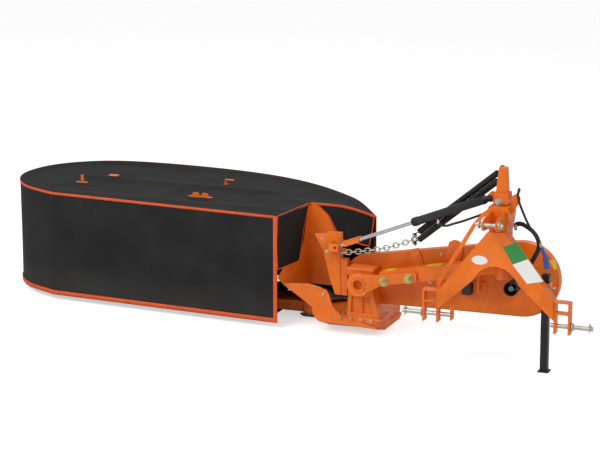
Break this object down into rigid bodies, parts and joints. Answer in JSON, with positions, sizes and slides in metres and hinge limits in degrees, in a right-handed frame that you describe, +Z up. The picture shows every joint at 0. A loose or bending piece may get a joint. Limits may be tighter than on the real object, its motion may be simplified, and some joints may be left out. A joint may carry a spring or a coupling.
{
  "type": "disc mower",
  "caption": "Three-point-mounted rear disc mower with belt drive, six oval discs, fabric safety cover, lift cylinder and parking stand.",
  "frame": {"origin": "centre of the machine footprint at ground level", "axes": "+X across the machine from the cutter bar to the hitch, -Y forward to the tractor, +Z up"},
  "size_m": [4.3802, 1.8658, 1.262],
  "materials": {
    "orange_paint": "satin powder coat",
    "black_paint": "satin",
    "zinc": "yellow-white zinc plating",
    "chrome": "polished hard chrome",
    "bare_steel": "satin",
    "cover_fabric": "coated woven cloth, orange binding",
    "black_rubber": "matte",
    "blue_plastic": "satin moulded"
  },
  "bodies": {
    "headstock": {"headstock_frame": "orange_paint", "mast_tower": "orange_paint", "top_link_pin": "zinc", "lower_pin_left": "zinc", "lower_pin_right": "zinc", "stay_bar": "orange_paint", "stand_sleeve": "orange_paint", "stand_pin": "zinc", "breakaway_latch": "orange_paint", "supply_hose": "black_rubber", "return_hose": "black_rubber", "hose_coupler": "blue_plastic"},
    "stand": {"stand_leg": "black_paint"},
    "carrier": {"tensioner_box": "black_paint", "main_beam": "orange_paint", "fork_arm": "orange_paint", "belt_guard_plate": "orange_paint", "belt_guard_cover": "orange_paint", "pto_shield": "black_rubber", "guard_bracket_1": "orange_paint", "guard_bracket_2": "orange_paint", "guard_bracket_3": "orange_paint"},
    "input_shaft": {"pto_shaft": "bare_steel"},
    "cylinder_barrel": {"lift_cylinder_barrel": "black_paint", "cylinder_hose": "black_rubber"},
    "cylinder_rod": {"lift_cylinder_rod": "chrome", "rod_link": "orange_paint"},
    "spring_1": {"balance_spring_1": "black_paint"},
    "spring_2": {"balance_spring_2": "black_paint"},
    "lift_chain": {"chain": "zinc"},
    "disc_1": {"disc_1": "bare_steel"},
    "disc_2": {"disc_2": "bare_steel"},
    "disc_3": {"disc_3": "bare_steel"},
    "disc_4": {"disc_4": "bare_steel"},
    "disc_5": {"disc_5": "bare_steel"},
    "disc_6": {"disc_6": "bare_steel"},
    "cutter_unit": {"gearbox_housing": "orange_paint", "inner_shoe": "orange_paint", "cutter_bar": "orange_paint", "skid_1": "bare_steel", "skid_2": "bare_steel", "skid_3": "bare_steel", "skid_4": "bare_steel", "skid_5": "bare_steel", "skid_6": "bare_steel", "outer_shoe": "orange_paint", "inner_shield": "orange_paint", "shield_nose": "orange_paint", "upright": "orange_paint", "curtain": "cover_fabric", "top_cover": "cover_fabric", "side_panel": "cover_fabric", "rear_flap": "cover_fabric", "cover_tab_1": "orange_paint", "cover_tab_2": "orange_paint", "cover_tab_3": "orange_paint", "cover_tab_4": "orange_paint", "cover_frame": "black_paint", "outer_post": "orange_paint", "outer_arm": "black_paint"}
  },
  "joints": [
    {"name": "swing", "type": "hinge", "parent": "headstock", "child": "carrier", "pos_m": [1.58306, -0.64594, 0.6], "axis": [0, 0, -1], "range_deg": [0, 25]},
    {"name": "lift", "type": "hinge", "parent": "carrier", "child": "cutter_unit", "pos_m": [0.54306, -0.26593, 0.35], "axis": [0, 1, 0], "range_deg": [-6, 88]},
    {"name": "stand_slide", "type": "slide", "parent": "headstock", "child": "stand", "axis": [0, 0, 1], "range_m": [0, 0.24]},
    {"name": "input_shaft_spin", "type": "hinge", "parent": "carrier", "child": "input_shaft", "pos_m": [1.58306, -0.33593, 0.442], "axis": [0, 1, 0], "continuous": true},
    {"name": "barrel_tilt", "type": "hinge", "parent": "carrier", "child": "cylinder_barrel", "pos_m": [1.51106, -0.64594, 1.066], "axis": [-0.0373, -0.835, -0.5489], "range_deg": [-0.84, 11.98], "deforming": ["cylinder_hose"]},
    {"name": "rod_slide", "type": "slide", "parent": "cylinder_barrel", "child": "cylinder_rod", "axis": [-0.8777, 0.29, -0.3816], "range_m": [-0.3125, 0.0219]},
    {"name": "spring_1_tilt", "type": "hinge", "parent": "carrier", "child": "spring_1", "pos_m": [1.56506, -0.59393, 1.238], "axis": [-0.6481, -0.477, 0.5937], "range_deg": [-1.7, 24.21], "deforming": ["balance_spring_1"]},
    {"name": "spring_2_tilt", "type": "hinge", "parent": "carrier", "child": "spring_2", "pos_m": [1.56506, -0.59393, 1.186], "axis": [-0.6348, -0.4772, 0.6077], "range_deg": [-1.78, 25.31], "deforming": ["balance_spring_2"]},
    {"name": "chain_tilt", "type": "hinge", "parent": "spring_1", "child": "lift_chain", "pos_m": [0.94306, -0.41593, 0.702], "axis": [0.3741, 0.3224, -0.8695], "range_deg": [-4.1, 58.47], "deforming": ["chain"]},
    {"name": "disc_1_spin", "type": "hinge", "parent": "cutter_unit", "child": "disc_1", "pos_m": [0.12306, 0.09406, 0.128], "axis": [0, 0, 1], "continuous": true},
    {"name": "disc_2_spin", "type": "hinge", "parent": "cutter_unit", "child": "disc_2", "pos_m": [-0.25694, 0.09406, 0.128], "axis": [0, 0, 1], "continuous": true},
    {"name": "disc_3_spin", "type": "hinge", "parent": "cutter_unit", "child": "disc_3", "pos_m": [-0.63694, 0.09406, 0.128], "axis": [0, 0, 1], "continuous": true},
    {"name": "disc_4_spin", "type": "hinge", "parent": "cutter_unit", "child": "disc_4", "pos_m": [-1.01694, 0.09406, 0.128], "axis": [0, 0, 1], "continuous": true},
    {"name": "disc_5_spin", "type": "hinge", "parent": "cutter_unit", "child": "disc_5", "pos_m": [-1.39694, 0.09406, 0.128], "axis": [0, 0, 1], "continuous": true},
    {"name": "disc_6_spin", "type": "hinge", "parent": "cutter_unit", "child": "disc_6", "pos_m": [-1.77694, 0.09406, 0.128], "axis": [0, 0, 1], "continuous": true}
  ],
  "couplings": [
    {"joint": "barrel_tilt", "follows": "lift", "ratio": 0.13586},
    {"joint": "rod_slide", "follows": "lift", "m_per_rad": -0.20302},
    {"joint": "spring_1_tilt", "follows": "lift", "ratio": 0.27453},
    {"joint": "spring_2_tilt", "follows": "lift", "ratio": 0.287},
    {"joint": "chain_tilt", "follows": "lift", "ratio": 0.663},
    {"joint": "disc_2_spin", "follows": "disc_1_spin", "ratio": -1},
    {"joint": "disc_3_spin", "follows": "disc_1_spin", "ratio": 1},
    {"joint": "disc_4_spin", "follows": "disc_1_spin", "ratio": -1},
    {"joint": "disc_5_spin", "follows": "disc_1_spin", "ratio": 1},
    {"joint": "disc_6_spin", "follows": "disc_1_spin", "ratio": -1},
    {"joint": "input_shaft_spin", "follows": "disc_1_spin", "ratio": -0.18}
  ]
}
